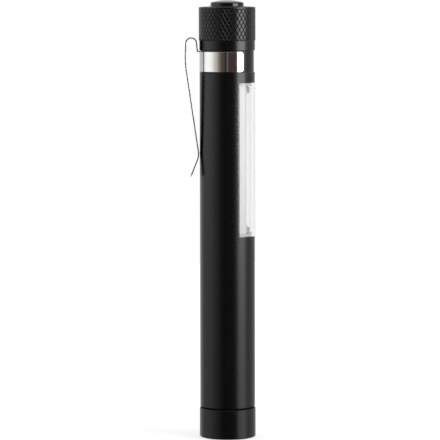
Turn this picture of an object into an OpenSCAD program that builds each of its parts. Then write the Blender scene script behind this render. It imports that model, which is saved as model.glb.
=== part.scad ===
// Pen-shaped light: a front lamp in the head, a strip lamp under a clear side window,
// a knurled tail cap with a push switch, and a spring clip that swivels on the neck below the cap.
// Standing on its head: the front rim lies on Z = 0, the tube rises along +Z,
// the window faces +X and the clip faces -X.

/* [Barrel] */
// Outside diameter of the tube
barrel_d = 18.25; // [17.4:0.05:19.4]
// Wall of the tube
barrel_wall = 1.5; // [1.3:0.05:1.7]
// How far the neck for the clip lies below the tube's surface
neck_step = 0.3; // [0.2:0.05:0.45]
// Length of the neck between the tube's shoulder and the tail cap
neck_len = 7.05; // [6:0.05:8]
// How far the screwed ends lie below the tube's surface
thread_step = 0.75; // [0.7:0.05:0.9]
// Depth of the screw thread
thread_depth = 0.25; // [0.15:0.05:0.3]
// Pitch of the screw thread
thread_pitch = 1; // [0.8:0.1:1.2]
// How far the tail end of the bore is drawn in, to stop the battery sleeve
tail_stop = 0.5; // [0.3:0.05:0.55]
// Small chamfer on turned edges
edge = 0.2; // [0.1:0.05:0.3]

/* [Head] */
// How far the head ring stands proud of the tube
bezel_proud = 0.2; // [0.1:0.05:0.5]
// Length of the head ring
bezel_len = 9.7; // [9:0.1:12]
// Thickness of the lip that holds the front lens
bezel_lip = 1.2; // [0.8:0.1:1.6]
// Radius of the head ring's front corner
bezel_round = 0.45; // [0.2:0.05:0.6]
// Chamfer on the head ring's upper edge
bezel_break = 0.08; // [0.05:0.01:0.2]
// Opening in front of the lens
aperture_d = 12.6; // [11:0.1:13]
// Flare of that opening
aperture_flare = 0.5; // [0.2:0.05:0.7]
// Visible joint between the head ring and the tube
head_gap = 0.45; // [0.3:0.05:0.8]
// How far the gasket in that joint lies below the tube's surface
gasket_inset = 0.25; // [0.15:0.05:0.4]

/* [Front lamp] */
// Thickness of the lens seal
seal_t = 0.7; // [0.5:0.1:1]
// Width of the lens seal
seal_w = 1.4; // [0.8:0.1:1.8]
// Thickness of the front lens
front_lens_t = 1.6; // [1:0.1:2]
// Depth of the reflector
reflector_len = 9; // [8:0.1:11]
// Wall of the reflector
reflector_wall = 0.7; // [0.5:0.05:0.8]
// Thickness of the reflector's flange
reflector_flange = 0.9; // [0.6:0.1:1.2]
// Hole in the reflector for the lamp
emitter_hole_d = 4.6; // [4.4:0.1:5.2]
// Side of the lamp's package
led_side = 3; // [2.5:0.1:3.1]
// Height of the lamp's package
led_base = 0.8; // [0.5:0.1:1]
// Diameter of the lamp's dome
led_dome_d = 2.4; // [1.8:0.1:2.5]
// Thickness of the lamp's board
led_board_t = 1.2; // [0.8:0.1:1.6]
// Length of the heat sink
heat_sink_len = 8; // [7.5:0.1:10]
// Floor of the heat sink
heat_sink_floor = 2; // [1.5:0.1:2.5]
// Wall of the heat sink above the driver's ledge
heat_sink_wall = 1; // [0.8:0.1:1.2]
// Width of the ledge that carries the driver board
driver_ledge = 0.8; // [0.6:0.1:1]
// Thickness of the driver board
driver_t = 1; // [0.8:0.1:1.2]
// Diameter of the lamp's lead wires
lead_d = 0.6; // [0.5:0.05:0.8]
// Distance between the front lamp's two leads
led_lead_pitch = 8.8; // [8.4:0.1:9.2]

/* [Battery] */
// Diameter of one cell
cell_d = 10.5; // [10:0.1:10.6]
// Length of one cell over its nub
cell_len = 44.5; // [43:0.1:46]
// Diameter of a cell's nub
nub_d = 3.8; // [3:0.1:5]
// Height of a cell's nub
nub_len = 1; // [0.8:0.1:1.5]
// Clearance round a cell
cell_gap = 0.1; // [0.05:0.05:0.2]
// Thinnest wall of the battery sleeve, on the clip's side
sleeve_back = 0.4; // [0.3:0.05:0.6]
// Wall of the battery sleeve under the strip lamp
sleeve_web = 0.25; // [0.2:0.05:0.4]
// How far the sleeve reaches past the cells
sleeve_over = 1.4; // [0.8:0.1:2]
// Length of the contact spring at the head's end
positive_spring_len = 7.9; // [6.5:0.1:10]
// Length of the contact spring at the tail's end
tail_spring_len = 10; // [8:0.1:14]
// Wire of the contact springs
contact_wire = 0.6; // [0.5:0.05:0.8]
// Turns of each contact spring
contact_turns = 5; // [4:1:6]

/* [Side lamp] */
// Length of the window
window_len = 50.9; // [40:0.1:60]
// Distance from the window to the tube's shoulder at the clip
window_inset = 3.5; // [2.5:0.1:6]
// How far the window stands proud of the tube
window_proud = 0.1; // [0.05:0.05:0.15]
// Wall of the window
window_wall = 1; // [0.8:0.1:1.2]
// Wall at the window's two ends
window_end = 1.3; // [1:0.1:1.6]
// Width of the white tray
tray_w = 11; // [10:0.1:12]
// Floor of the tray
tray_floor = 0.55; // [0.4:0.05:0.7]
// Height of the tray's tongues under the window's ends
tongue_h = 1.45; // [1.2:0.05:1.5]
// Height of the tray's rails
rail_h = 1.95; // [1.6:0.05:2]
// Thickness of the tray's rails
rail_t = 0.8; // [0.5:0.05:1]
// Height of the tray's end blocks
block_h = 3.05; // [2.4:0.05:3.2]
// Length of the flat top of an end block
block_flat = 1.7; // [1:0.1:3]
// Length of the slope of an end block
block_slope = 1.8; // [1:0.1:3]
// Width of the strip lamp's board
strip_board_w = 7; // [6:0.1:7.6]
// Thickness of the strip lamp's board
strip_board_t = 0.8; // [0.6:0.05:0.9]
// Width of the glowing strip
strip_w = 4; // [3:0.1:5]
// Thickness of the glowing strip
strip_t = 0.3; // [0.2:0.05:0.4]
// Bare board left at the glowing strip's ends
strip_margin = 1.5; // [1:0.1:3]
// Distance between the strip lamp's two leads
strip_lead_pitch = 3; // [2:0.1:4]

/* [Clip] */
// Thickness of the clip's spring sheet
clip_t = 0.45; // [0.35:0.05:0.5]
// Width of the clip's arm
clip_w = 7; // [4:0.1:8]
// Half of the opening in the clip's band
band_open = 55; // [40:0.5:70]
// Corner radius of the band's ends
band_corner = 1.1; // [0.6:0.1:1.6]
// Gap between the tail cap and the band's upper edge
band_gap = 0.4; // [0.2:0.05:0.5]
// Gap between the tail cap and the arm's root
root_drop = 0.15; // [0.1:0.05:0.3]
// Radius of the bend at the arm's root
root_r = 0.55; // [0.5:0.05:0.7]
// Gap between the tail cap and the foot of the arm
root_gap = 0.425; // [0.4:0.025:1]
// Lean of the riser away from the cap
riser_lean = 6; // [4:0.5:12]
// Mean radius of the loop at the top of the arm
loop_r = 1.75; // [1.5:0.05:2.2]
// Height of the loop's centre above the cap's lower edge
loop_rise = 2.4; // [1.9:0.05:3]
// Outward lean of the arm below the loop
arm_lean = 2.4; // [0:0.1:4]
// Straight length below the loop
arm_top_len = 3.5; // [2:0.1:5]
// Radius of the arm's bow
bow_r = 30; // [25:1:60]
// Drop from the cap's lower edge to where the arm meets the tube
arm_drop = 34; // [30:0.05:40]
// Gap left between the arm and the tube
arm_gap = 0.16; // [0.16:0.01:0.4]
// Mean radius of the bend where the arm meets the tube
touch_r = 6; // [0.8:0.1:8]
// Lean of the lip
lip_lean = 21.6; // [15:0.1:30]
// Length of the lip
lip_len = 5.9; // [5:0.1:9]
// Corner radius of the lip's end
lip_corner = 1.8; // [0.8:0.1:1.9]
// Slit at the top of the loop that lets the arm turn
loop_slit = 11; // [10:0.5:14]

/* [Tail cap] */
// How far the plain collar stands proud of the tube
collar_proud = 0.07; // [0.05:0.01:0.3]
// How far the knurl stands proud of the collar
knurl_proud = 0.16; // [0.1:0.02:0.3]
// Length of the plain collar
collar_len = 3.15; // [2.5:0.05:4]
// Length of the knurled grip up to the cap's top
grip_len = 11.1; // [10.5:0.05:13]
// Run-out at the lower end of the knurl
knurl_run = 0.25; // [0.15:0.05:0.4]
// Thickness of the cap's top at its rim
cap_top = 1.7; // [1.2:0.1:2]
// Rise of the cap's top from its rim to the button
cap_crown = 0.35; // [0.05:0.05:0.4]

/* [Button and switch] */
// Diameter of the push button
button_d = 11; // [10:0.1:11]
// Height of the push button above the cap
button_rise = 2.3; // [2:0.1:3]
// Radius of the button's dome
button_dome_r = 19; // [9:0.5:25]
// Radius of the button's rim
button_round = 0.55; // [0.3:0.05:0.9]
// Travel of the button
button_travel = 1.5; // [1:0.1:1.6]
// Width of the button's hidden flange
button_flange = 0.7; // [0.5:0.05:0.8]
// Thickness of that flange
button_flange_t = 1.2; // [0.8:0.1:1.3]
// Diameter of the switch housing
switch_d = 13.2; // [12.4:0.1:13.3]
// Length of the switch housing below its flange
switch_len = 7.2; // [6.6:0.1:8]
// Thickness of the housing's flange
switch_flange_t = 1.2; // [0.9:0.1:1.5]
// Bore of the switch housing
switch_bore_d = 7; // [6.6:0.1:9]
// Roof of that bore, below the flange's lower face
switch_roof = 1.8; // [1.5:0.1:2]
// Thickness of the switch board
switch_board_t = 1; // [0.8:0.1:1.2]
// Thickness of the ring that holds the switch
retainer_t = 1.2; // [1:0.1:1.5]
// Diameter of the plunger
plunger_d = 4; // [3:0.1:4.4]
// Diameter of the plunger's collar
plunger_collar_d = 6.4; // [6:0.1:6.4]
// Thickness of the plunger's collar
plunger_collar_t = 1.2; // [0.8:0.1:1.3]
// Wire of the plunger's spring
plunger_wire = 0.4; // [0.3:0.05:0.5]
// Turns of the plunger's spring
plunger_turns = 3; // [2:1:4]

/* [Fits] */
// Radial clearance of screwed and sliding fits
run_fit = 0.05; // [0.03:0.01:0.08]
// Clearance round pieces that are dropped into place
drop_fit = 0.1; // [0.05:0.01:0.15]
// Gap left at stops and round loose seats
seat_gap = 0.1; // [0.05:0.01:0.15]
// Section of the seal on the neck's thread
neck_seal_d = 0.65; // [0.5:0.05:0.7]

/* [Hidden] */
$fn = 96;

// Radii that follow the tube
barrel_r = barrel_d / 2;
bore_r = barrel_r - barrel_wall;
tail_bore_r = bore_r - tail_stop;
neck_r = barrel_r - neck_step;
thread_r = barrel_r - thread_step;
thread_root_r = thread_r - thread_depth;
nut_r = thread_r + run_fit;
bezel_r = barrel_r + bezel_proud;
collar_r = barrel_r + collar_proud;
knurl_r = collar_r + knurl_proud;
insert_r = bore_r - drop_fit;

// Heights of the front lamp, from the front rim upwards
z_seal = bezel_lip;
z_lens = z_seal + seal_t;
z_reflector = z_lens + front_lens_t;
z_led_board = z_reflector + reflector_len;
z_sink = z_led_board + led_board_t;
z_driver = z_sink + heat_sink_len;
z_ledge = z_driver - driver_t;

// Heights of the battery
z_nub = z_driver + positive_spring_len;
z_cells = z_nub + 2 * cell_len;
z_sleeve = z_cells + sleeve_over;

// Heights of the switch and the tail cap, which follow the battery
z_switch_board = z_cells + tail_spring_len;
z_housing = z_switch_board + switch_board_t;
z_flange = z_housing + switch_len;
z_shoulder = z_flange + switch_flange_t;
z_pocket = z_shoulder + 2 * seat_gap + button_travel + button_flange_t + seat_gap;
z_top = z_pocket + cap_top;
z_knurl = z_top - grip_len;
z_cap = z_knurl - collar_len;
z_neck = z_cap - neck_len;
z_apex = z_top + button_rise;
z_barrel = bezel_len + head_gap;
z_head_thread = z_reflector + reflector_flange + seat_gap;
z_tail_thread = z_flange - retainer_t - seat_gap;
z_button = z_pocket - seat_gap - button_flange_t;
z_roof = z_flange - switch_roof;
z_plunger = z_roof - 2 * seat_gap - plunger_collar_t;

// Seal and thread at the tail end of the tube
seal_slack = 0.02;
seal_floor_r = nut_r - neck_seal_d - 2 * seal_slack;
seal_land = 0.5;
thread_flank = 0.35;
seal_groove = neck_seal_d + 2 * seat_gap;
z_neck_seal = z_cap + seal_land;

// Battery beside the strip lamp
cell_r = cell_d / 2;
pocket_r = cell_r + cell_gap;
cell_x = pocket_r + sleeve_back - insert_r;
sleeve_flat = cell_x + pocket_r + sleeve_web;

// Window and tray
window_step = 0.25;
window_flat = sleeve_flat - window_step;
window_r = barrel_r + window_proud;
window_in_r = window_r - window_wall;
z_window_top = z_neck - window_inset;
z_window = z_window_top - window_len;
tray_r = window_in_r - drop_fit;
block_start = window_end + 2 * seat_gap;
block_end = block_start + block_flat + block_slope;
floor_x = sleeve_flat + tray_floor;
strip_x = floor_x + strip_board_t;
lead_x = floor_x + strip_board_t / 2;
rail_y = strip_board_w / 2 + drop_fit;

// Clip, drawn as a path in the X-Z plane
band_r = neck_r + run_fit;
z_band_top = z_cap - band_gap;
z_band = z_neck + seat_gap;
root_h = 90 + riser_lean;
root_c = [
    -(collar_r + root_gap + clip_t / 2) + root_r * sin(root_h),
    z_cap - root_drop - clip_t / 2 + root_r
];
riser_a = root_c + root_r * left(root_h);
loop_z = z_cap + loop_rise;
riser_len = (loop_z - loop_r * left(root_h)[1] - riser_a[1]) / sin(root_h);
riser_b = riser_a + riser_len * ahead(root_h);
loop_c = riser_b + loop_r * left(root_h);
arm_h = 270 - arm_lean;
arm_a = loop_c - loop_r * left(arm_h);
arm_b = arm_a + arm_top_len * ahead(arm_h);
bow_c = arm_b + bow_r * left(arm_h);
touch_c = [-(barrel_r + arm_gap + clip_t / 2 + touch_r), z_cap - arm_drop];
span = touch_c - bow_c;
reach_h = atan2(span[1], span[0]) + asin((bow_r + touch_r) / norm(span)) + 360;
lip_h = 270 - lip_lean;
lip_a = touch_c + touch_r * left(lip_h);
corner_share = 0.96;

// Coils
coil_rings = 8;
coil_sides = 6;
cell_seat_r = 2.4;
board_seat_r = 4.6;
driver_seat_r = 3.4;
coil_clear = 0.05;

// Shares of round outlines
arc_steps = 8;
reflector_steps = 12;
cut = 1;

// Direction of a heading in the X-Z plane, and the direction to its left
function ahead(h) = [cos(h), sin(h)];
function left(h) = [-sin(h), cos(h)];

// Points of an arc in a turned profile
function arc(centre, r, from, to) =
    [for (i = [0:arc_steps]) centre + r * ahead(from + (to - from) * i / arc_steps)];

// Centre of one ring of a coil that widens from r_low to r_high
function coil_centre(r_low, r_high, z_low, z_high, turns, f) =
    let (r = r_low + (r_high - r_low) * f)
    [r * cos(360 * turns * f), r * sin(360 * turns * f), z_low + (z_high - z_low) * f];

// Least free distance between the turns of a coil, measured between its rings
function coil_gap(r_low, r_high, z_low, z_high, wire, turns) =
    let (n = turns * coil_rings)
    let (c = [for (i = [0:n]) coil_centre(r_low, r_high, z_low, z_high, turns, i / n)])
    min([for (i = [0:n]) for (j = [i + coil_rings / 2:n]) norm(c[j] - c[i])]) - wire;

// A coil of round wire, as one unbroken tube between two heights
module coil(name, r_low, r_high, z_from, z_to, wire, turns) {
    z_low = z_from + wire / 2 + coil_clear;
    z_high = z_to - wire / 2 - coil_clear;
    n = turns * coil_rings;
    points = [
        for (i = [0:n])
            let (c = coil_centre(r_low, r_high, z_low, z_high, turns, i / n))
            let (a = 360 * turns * i / n)
            for (k = [0:coil_sides - 1])
                let (b = 360 * k / coil_sides)
                c + wire / 2 * [cos(b) * cos(a), cos(b) * sin(a), sin(b)]
    ];
    low = [for (i = [0:n - 1]) for (k = [0:coil_sides - 1])
        [i * coil_sides + k, i * coil_sides + (k + 1) % coil_sides,
            (i + 1) * coil_sides + (k + 1) % coil_sides]];
    high = [for (i = [0:n - 1]) for (k = [0:coil_sides - 1])
        [i * coil_sides + k, (i + 1) * coil_sides + (k + 1) % coil_sides, (i + 1) * coil_sides + k]];
    tail = n * coil_sides;
    first = [for (k = [1:coil_sides - 2]) [0, k + 1, k]];
    last = [for (k = [1:coil_sides - 2]) [tail, tail + k, tail + k + 1]];
    echo(str(name, " least gap ", coil_gap(r_low, r_high, z_low, z_high, wire, turns)));
    polyhedron(points, concat(low, high, first, last));
}

// A flat ring between two radii and two heights
module ring(r_in, r_out, z_from, z_to) {
    rotate_extrude()
        translate([r_in, z_from])
            square([r_out - r_in, z_to - z_from]);
}

// A disc between two heights
module disc(r, z_from, z_to) {
    translate([0, 0, z_from])
        cylinder(r = r, h = z_to - z_from);
}

// Headings along a bend
function headings(from, to) = [for (i = [0:arc_steps]) from + (to - from) * i / arc_steps];

// Points beside the clip's path, s to its left: on a bend to the left, and on a bend to the right
function left_bend(centre, r, from, to, s) = [for (h = headings(from, to)) centre - (r - s) * left(h)];
function right_bend(centre, r, from, to, s) = [for (h = headings(from, to)) centre + (r + s) * left(h)];

// One side of the path from the band up into the loop
function root_side(s) = concat(
    [[-band_r / 2, root_c[1] - root_r - s]],
    right_bend(root_c, root_r, 180, root_h, s),
    left_bend(loop_c, loop_r, root_h, 180 - loop_slit / 2, s)
);

// One side of the path from the loop down to the lip's end
function arm_side(s) = concat(
    left_bend(loop_c, loop_r, 180 + loop_slit / 2, arm_h, s),
    left_bend(bow_c, bow_r, arm_h, reach_h, s),
    right_bend(touch_c, touch_r, reach_h, lip_h, s),
    [lip_a + lip_len * ahead(lip_h) + s * left(lip_h)]
);

function reversed(list) = [for (i = [len(list) - 1:-1:0]) list[i]];

// Bent spring sheet, as wide as the clip's arm, between the two sides of its path
module sheet(one_side, other_side) {
    rotate([90, 0, 0])
        linear_extrude(clip_w, center = true)
            polygon(concat(one_side, reversed(other_side)));
}

// Cutter for one outer corner of a sheet that lies in the X-Y plane, with the corner at [0, 0]
module corner_cut(r, sx, sy) {
    inset = r * corner_share;
    translate([-sx * inset, -sy * inset, -cut])
        difference() {
            translate([min(0, sx * 2 * r), min(0, sy * 2 * r), 0])
                cube([2 * r, 2 * r, clip_t + 2 * cut]);
            translate([0, 0, -cut])
                cylinder(r = r, h = clip_t + 4 * cut);
        }
}

// Rounded ridges that stand for the thread on the tail end of the tube
function thread_profile(z_from, turns) = [
    for (i = [0:turns - 1]) each [
        [thread_root_r, z_from + i * thread_pitch],
        [thread_r, z_from + (i + thread_flank) * thread_pitch],
        [thread_r, z_from + (i + 1 - thread_flank) * thread_pitch],
        [thread_root_r, z_from + (i + 1) * thread_pitch]
    ]
];

// Black tube, with a neck for the clip, a screwed end at head and tail, and a flat for the window
module barrel() {
    z_thread = z_neck_seal + seal_groove + seal_land;
    turns = floor((z_tail_thread - edge - z_thread) / thread_pitch);
    color([0.07, 0.07, 0.08])
        difference() {
            rotate_extrude()
                polygon(concat([
                    [bore_r, z_head_thread],
                    [thread_r - edge, z_head_thread],
                    [thread_r, z_head_thread + edge],
                    [thread_r, z_barrel],
                    [barrel_r - edge, z_barrel],
                    [barrel_r, z_barrel + edge],
                    [barrel_r, z_neck - edge],
                    [barrel_r - edge, z_neck],
                    [neck_r, z_neck],
                    [neck_r, z_cap - seat_gap],
                    [thread_r, z_cap - seat_gap],
                    [thread_r, z_neck_seal],
                    [seal_floor_r, z_neck_seal],
                    [seal_floor_r, z_neck_seal + seal_groove],
                    [thread_r, z_neck_seal + seal_groove],
                    [thread_r, z_thread - thread_depth]
                ], thread_profile(z_thread, turns), [
                    [thread_root_r, z_tail_thread],
                    [tail_bore_r, z_tail_thread],
                    [tail_bore_r, z_sleeve],
                    [bore_r, z_sleeve]
                ]));
            translate([window_flat, -barrel_d / 2 - cut, z_window])
                cube([barrel_d, barrel_d + 2 * cut, window_len]);
        }
}

// Black ring that screws over the head end and holds the front lens
module head_bezel() {
    aperture_r = aperture_d / 2;
    color([0.08, 0.08, 0.09])
        rotate_extrude()
            polygon(concat(
                [[aperture_r + aperture_flare, 0]],
                arc([bezel_r - bezel_round, bezel_round], bezel_round, -90, 0),
                [
                    [bezel_r, bezel_len - bezel_break],
                    [bezel_r - bezel_break, bezel_len],
                    [nut_r, bezel_len],
                    [nut_r, bezel_lip],
                    [aperture_r, bezel_lip],
                    [aperture_r, aperture_flare]
                ]));
}

// Dark gasket in the joint between head ring and tube
module head_gasket() {
    color([0.03, 0.03, 0.03])
        ring(nut_r, barrel_r - gasket_inset, bezel_len, z_barrel);
}

// Flat seal between the head ring's lip and the front lens
module lens_seal() {
    color([0.05, 0.05, 0.05])
        ring(nut_r - drop_fit - seal_w, nut_r - drop_fit, z_seal, z_lens);
}

// Clear disc in front of the reflector
module front_lens() {
    color([0.85, 0.92, 0.95, 0.4])
        disc(nut_r - drop_fit, z_lens, z_reflector);
}

// Bright bowl behind the front lens, a parabola from the lamp's hole to the mouth
module reflector() {
    hole_r = emitter_hole_d / 2;
    mouth_r = insert_r - reflector_wall;
    bowl = [for (i = [0:reflector_steps])
        let (f = i / reflector_steps)
        [sqrt(pow(hole_r, 2) * f + pow(mouth_r, 2) * (1 - f)), z_reflector + reflector_len * f]];
    shell = [for (i = [reflector_steps:-1:0])
        if (bowl[i][1] > z_reflector + reflector_flange) bowl[i] + [reflector_wall, 0]];
    color([0.85, 0.86, 0.88])
        rotate_extrude()
            polygon(concat(bowl, shell, [
                [insert_r, z_reflector + reflector_flange],
                [nut_r - drop_fit, z_reflector + reflector_flange],
                [nut_r - drop_fit, z_reflector]
            ]));
}

// Square lamp with a round dome, facing down into the reflector
module front_led() {
    color([0.95, 0.85, 0.35])
        union() {
            translate([-led_side / 2, -led_side / 2, z_led_board - led_base])
                cube([led_side, led_side, led_base]);
            difference() {
                translate([0, 0, z_led_board - led_base])
                    sphere(d = led_dome_d);
                translate([-led_side / 2, -led_side / 2, z_led_board - led_base / 2])
                    cube([led_side, led_side, led_dome_d]);
            }
        }
}

// Round board that carries the front lamp
module led_board() {
    color([0.9, 0.9, 0.88])
        disc(insert_r, z_led_board, z_sink);
}

// Two wires from the front lamp's board to the driver, through the heat sink's floor
module led_leads() {
    color([0.75, 0.1, 0.08])
        for (side = [-1, 1])
            translate([0, side * led_lead_pitch / 2, 0])
                disc(lead_d / 2, z_sink, z_ledge);
}

// Metal cup that takes the lamp's heat and carries the driver board on a ledge
module heat_sink() {
    ledge_r = insert_r - heat_sink_wall;
    color([0.75, 0.75, 0.77])
        difference() {
            disc(insert_r, z_sink, z_driver);
            disc(ledge_r - driver_ledge, z_sink + heat_sink_floor, z_driver + cut);
            disc(ledge_r, z_ledge, z_driver + cut);
            for (side = [-1, 1])
                translate([0, side * led_lead_pitch / 2, 0])
                    disc(lead_d / 2 + drop_fit, z_sink - cut, z_driver);
        }
}

// Round board with the driver, let into the heat sink
module driver_board() {
    color([0.1, 0.35, 0.2])
        disc(insert_r - heat_sink_wall - drop_fit, z_ledge, z_driver);
}

// Parts under the driver board: a coil, a chip and two resistors
module driver_parts() {
    coil_d = 3.6;
    coil_h = 2.2;
    chip = [3, 2.4, 1.1];
    resistor = [1.6, 0.8, 0.6];
    color([0.12, 0.12, 0.13])
        union() {
            translate([-coil_d / 2 - seat_gap, 0, 0])
                disc(coil_d / 2, z_ledge - coil_h, z_ledge);
            translate([seat_gap, -chip[1] / 2, z_ledge - chip[2]])
                cube(chip);
            for (side = [-1, 1])
                translate([seat_gap, side * chip[1] - resistor[1] / 2, z_ledge - resistor[2]])
                    cube(resistor);
        }
}

// Contact spring between the driver board and the lower cell's nub
module positive_spring() {
    color([0.8, 0.78, 0.7])
        translate([cell_x, 0, 0])
            coil("positive_spring", driver_seat_r, nub_d / 2 - contact_wire / 2, z_driver, z_nub,
                contact_wire, contact_turns);
}

// Black sleeve that holds the cells off centre, with a flat for the strip lamp
module battery_sleeve() {
    color([0.16, 0.16, 0.17])
        difference() {
            disc(insert_r, z_driver, z_sleeve);
            translate([cell_x, 0, 0])
                disc(pocket_r, z_driver - cut, z_sleeve + cut);
            translate([sleeve_flat, -barrel_r, z_driver - cut])
                cube([barrel_r, barrel_d, z_sleeve - z_driver + 2 * cut]);
        }
}

// One dry cell standing on its nub
module cell(z_from) {
    body = z_from + nub_len;
    translate([cell_x, 0, 0])
        rotate_extrude()
            polygon([
                [0, z_from],
                [nub_d / 2, z_from],
                [nub_d / 2, body],
                [cell_r - edge, body],
                [cell_r, body + edge],
                [cell_r, z_from + cell_len - edge],
                [cell_r - edge, z_from + cell_len],
                [0, z_from + cell_len]
            ]);
}

module lower_cell() {
    color([0.2, 0.35, 0.6])
        cell(z_nub);
}

module upper_cell() {
    color([0.2, 0.35, 0.6])
        cell(z_nub + cell_len);
}

// Two wires from the driver board to the strip lamp, along the sleeve's flat
module strip_leads() {
    color([0.75, 0.1, 0.08])
        for (side = [-1, 1])
            translate([lead_x, side * strip_lead_pitch / 2, 0])
                disc(lead_d / 2, z_driver, z_window + block_end);
}

// Side of one end of the tray: a tongue, an end block and its slope down to the floor
function tray_end() = [
    [0, seat_gap],
    [tongue_h, seat_gap],
    [tongue_h, block_start],
    [block_h, block_start],
    [block_h, block_start + block_flat],
    [tray_floor, block_end]
];

// White tray of the strip lamp: a floor, two rails and a sloped block at each end
module reflector_tray() {
    far_end = [for (p = reversed(tray_end())) [p[0], window_len - p[1]]];
    rail_end = block_start + block_flat / 2;
    color([0.95, 0.95, 0.93])
        difference() {
            union() {
                intersection() {
                    disc(tray_r, z_window, z_window_top);
                    translate([sleeve_flat, 0, z_window])
                        rotate([90, 0, 0])
                            linear_extrude(tray_w, center = true)
                                polygon(concat(tray_end(), far_end));
                }
                for (side = [-1, 1])
                    translate([
                        sleeve_flat + tray_floor / 2,
                        side * (rail_y + rail_t / 2) - rail_t / 2,
                        z_window + rail_end
                    ])
                        cube([rail_h - tray_floor / 2, rail_t, window_len - 2 * rail_end]);
            }
            for (side = [-1, 1])
                translate([lead_x, side * strip_lead_pitch / 2, 0])
                    disc(lead_d / 2 + run_fit, z_window - cut, z_window + block_end + cut);
        }
}

// Board of the strip lamp, on the tray's floor between the rails
module strip_board() {
    color([0.93, 0.93, 0.9])
        translate([floor_x, -strip_board_w / 2, z_window + block_end])
            cube([strip_board_t, strip_board_w, window_len - 2 * block_end]);
}

// Yellow strip that glows
module glow_strip() {
    color([0.95, 0.85, 0.3])
        translate([strip_x, -strip_w / 2, z_window + block_end + strip_margin])
            cube([strip_t, strip_w, window_len - 2 * (block_end + strip_margin)]);
}

// Clear half-round window with closed ends, notched over the battery sleeve and the tray's tongues
module window_lens() {
    notch_w = tray_w + 2 * drop_fit;
    bore_w = 2 * sqrt(pow(bore_r, 2) - pow(window_flat, 2));
    color([0.9, 0.93, 0.95, 0.4])
        difference() {
            disc(window_r, z_window + seat_gap / 2, z_window_top - seat_gap / 2);
            disc(window_in_r, z_window + window_end, z_window_top - window_end);
            translate([-window_r - cut, -window_r - cut, z_window - cut])
                cube([window_r + cut + window_flat, 2 * (window_r + cut), window_len + 2 * cut]);
            translate([0, -bore_w / 2, z_window - cut])
                cube([sleeve_flat + seat_gap, bore_w, window_len + 2 * cut]);
            translate([0, -notch_w / 2, z_window - cut])
                cube([sleeve_flat + tongue_h + seat_gap, notch_w, window_len + 2 * cut]);
        }
}

// Round seal in its groove on the neck's thread
module neck_seal() {
    color([0.05, 0.05, 0.05])
        rotate_extrude()
            translate([seal_floor_r + seal_slack + neck_seal_d / 2, z_neck_seal + seal_groove / 2])
                circle(d = neck_seal_d, $fn = 32);
}

// Open band that snaps into the neck, with the riser and half of the loop
module clip_band() {
    color([0.82, 0.82, 0.82])
        difference() {
            union() {
                rotate([0, 0, band_open])
                    rotate_extrude(angle = 360 - 2 * band_open)
                        translate([band_r, z_band])
                            square([clip_t, z_band_top - z_band]);
                difference() {
                    sheet(root_side(clip_t / 2), root_side(-clip_t / 2));
                    disc(band_r + clip_t / 4, z_band, z_cap);
                }
            }
            for (end = [-1, 1])
                for (up = [-1, 1])
                    rotate([0, 0, end * band_open])
                        translate([band_r, 0, up > 0 ? z_band_top : z_band])
                            rotate([90, 0, 90])
                                corner_cut(band_corner, -end, up);
        }
}

// Sprung arm: half of the loop, the bowed arm, the bend that meets the tube, and the lip
module clip_arm() {
    color([0.82, 0.82, 0.82])
        difference() {
            sheet(arm_side(clip_t / 2), arm_side(-clip_t / 2));
            for (side = [-1, 1])
                translate([lip_a[0], 0, lip_a[1]])
                    rotate([0, -lip_h, 0])
                        translate([lip_len, side * clip_w / 2, -clip_t / 2])
                            corner_cut(lip_corner, 1, side);
        }
}

// Conical contact spring between the upper cell and the switch board
module tail_spring() {
    color([0.8, 0.78, 0.7])
        coil("tail_spring", cell_seat_r, board_seat_r, z_cells, z_switch_board, contact_wire, contact_turns);
}

// Black cap with a plain collar, a knurled grip and a hole for the push button
module tail_cap() {
    button_hole_r = button_d / 2 + drop_fit;
    pocket = button_d / 2 + button_flange + 2 * drop_fit;
    color([0.07, 0.07, 0.08])
        rotate_extrude()
            polygon([
                [nut_r, z_cap],
                [collar_r - edge, z_cap],
                [collar_r, z_cap + edge],
                [collar_r, z_knurl],
                [knurl_r, z_knurl + knurl_run],
                [knurl_r, z_top - edge],
                [knurl_r - edge, z_top],
                [button_hole_r, z_top + cap_crown],
                [button_hole_r, z_pocket],
                [pocket, z_pocket],
                [pocket, z_shoulder],
                [nut_r, z_shoulder]
            ]);
}

// Ring that screws into the cap behind the switch, with two slots for a spanner
module switch_retainer() {
    slot = 1.2;
    color([0.7, 0.6, 0.35])
        difference() {
            ring(switch_d / 2 + drop_fit, nut_r - run_fit, z_flange - retainer_t, z_flange);
            translate([-barrel_r, -slot / 2, z_flange - retainer_t - cut])
                cube([barrel_d, slot, retainer_t / 2 + cut]);
        }
}

// Switch housing, whose flange is held between the cap's shoulder and the retainer
module switch_housing() {
    color([0.2, 0.2, 0.21])
        rotate_extrude()
            polygon([
                [switch_bore_d / 2, z_housing],
                [switch_d / 2, z_housing],
                [switch_d / 2, z_flange],
                [nut_r - drop_fit, z_flange],
                [nut_r - drop_fit, z_shoulder],
                [plunger_d / 2 + run_fit, z_shoulder],
                [plunger_d / 2 + run_fit, z_roof],
                [switch_bore_d / 2, z_roof]
            ]);
}

// Round board that closes the switch and takes the tail spring
module switch_board() {
    color([0.1, 0.35, 0.2])
        disc(switch_d / 2, z_switch_board, z_housing);
}

// Spring that returns the plunger
module plunger_spring() {
    spring_r = (plunger_collar_d - plunger_wire) / 2 - drop_fit;
    color([0.8, 0.78, 0.7])
        coil("plunger_spring", spring_r, spring_r, z_housing, z_plunger, plunger_wire, plunger_turns);
}

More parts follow.
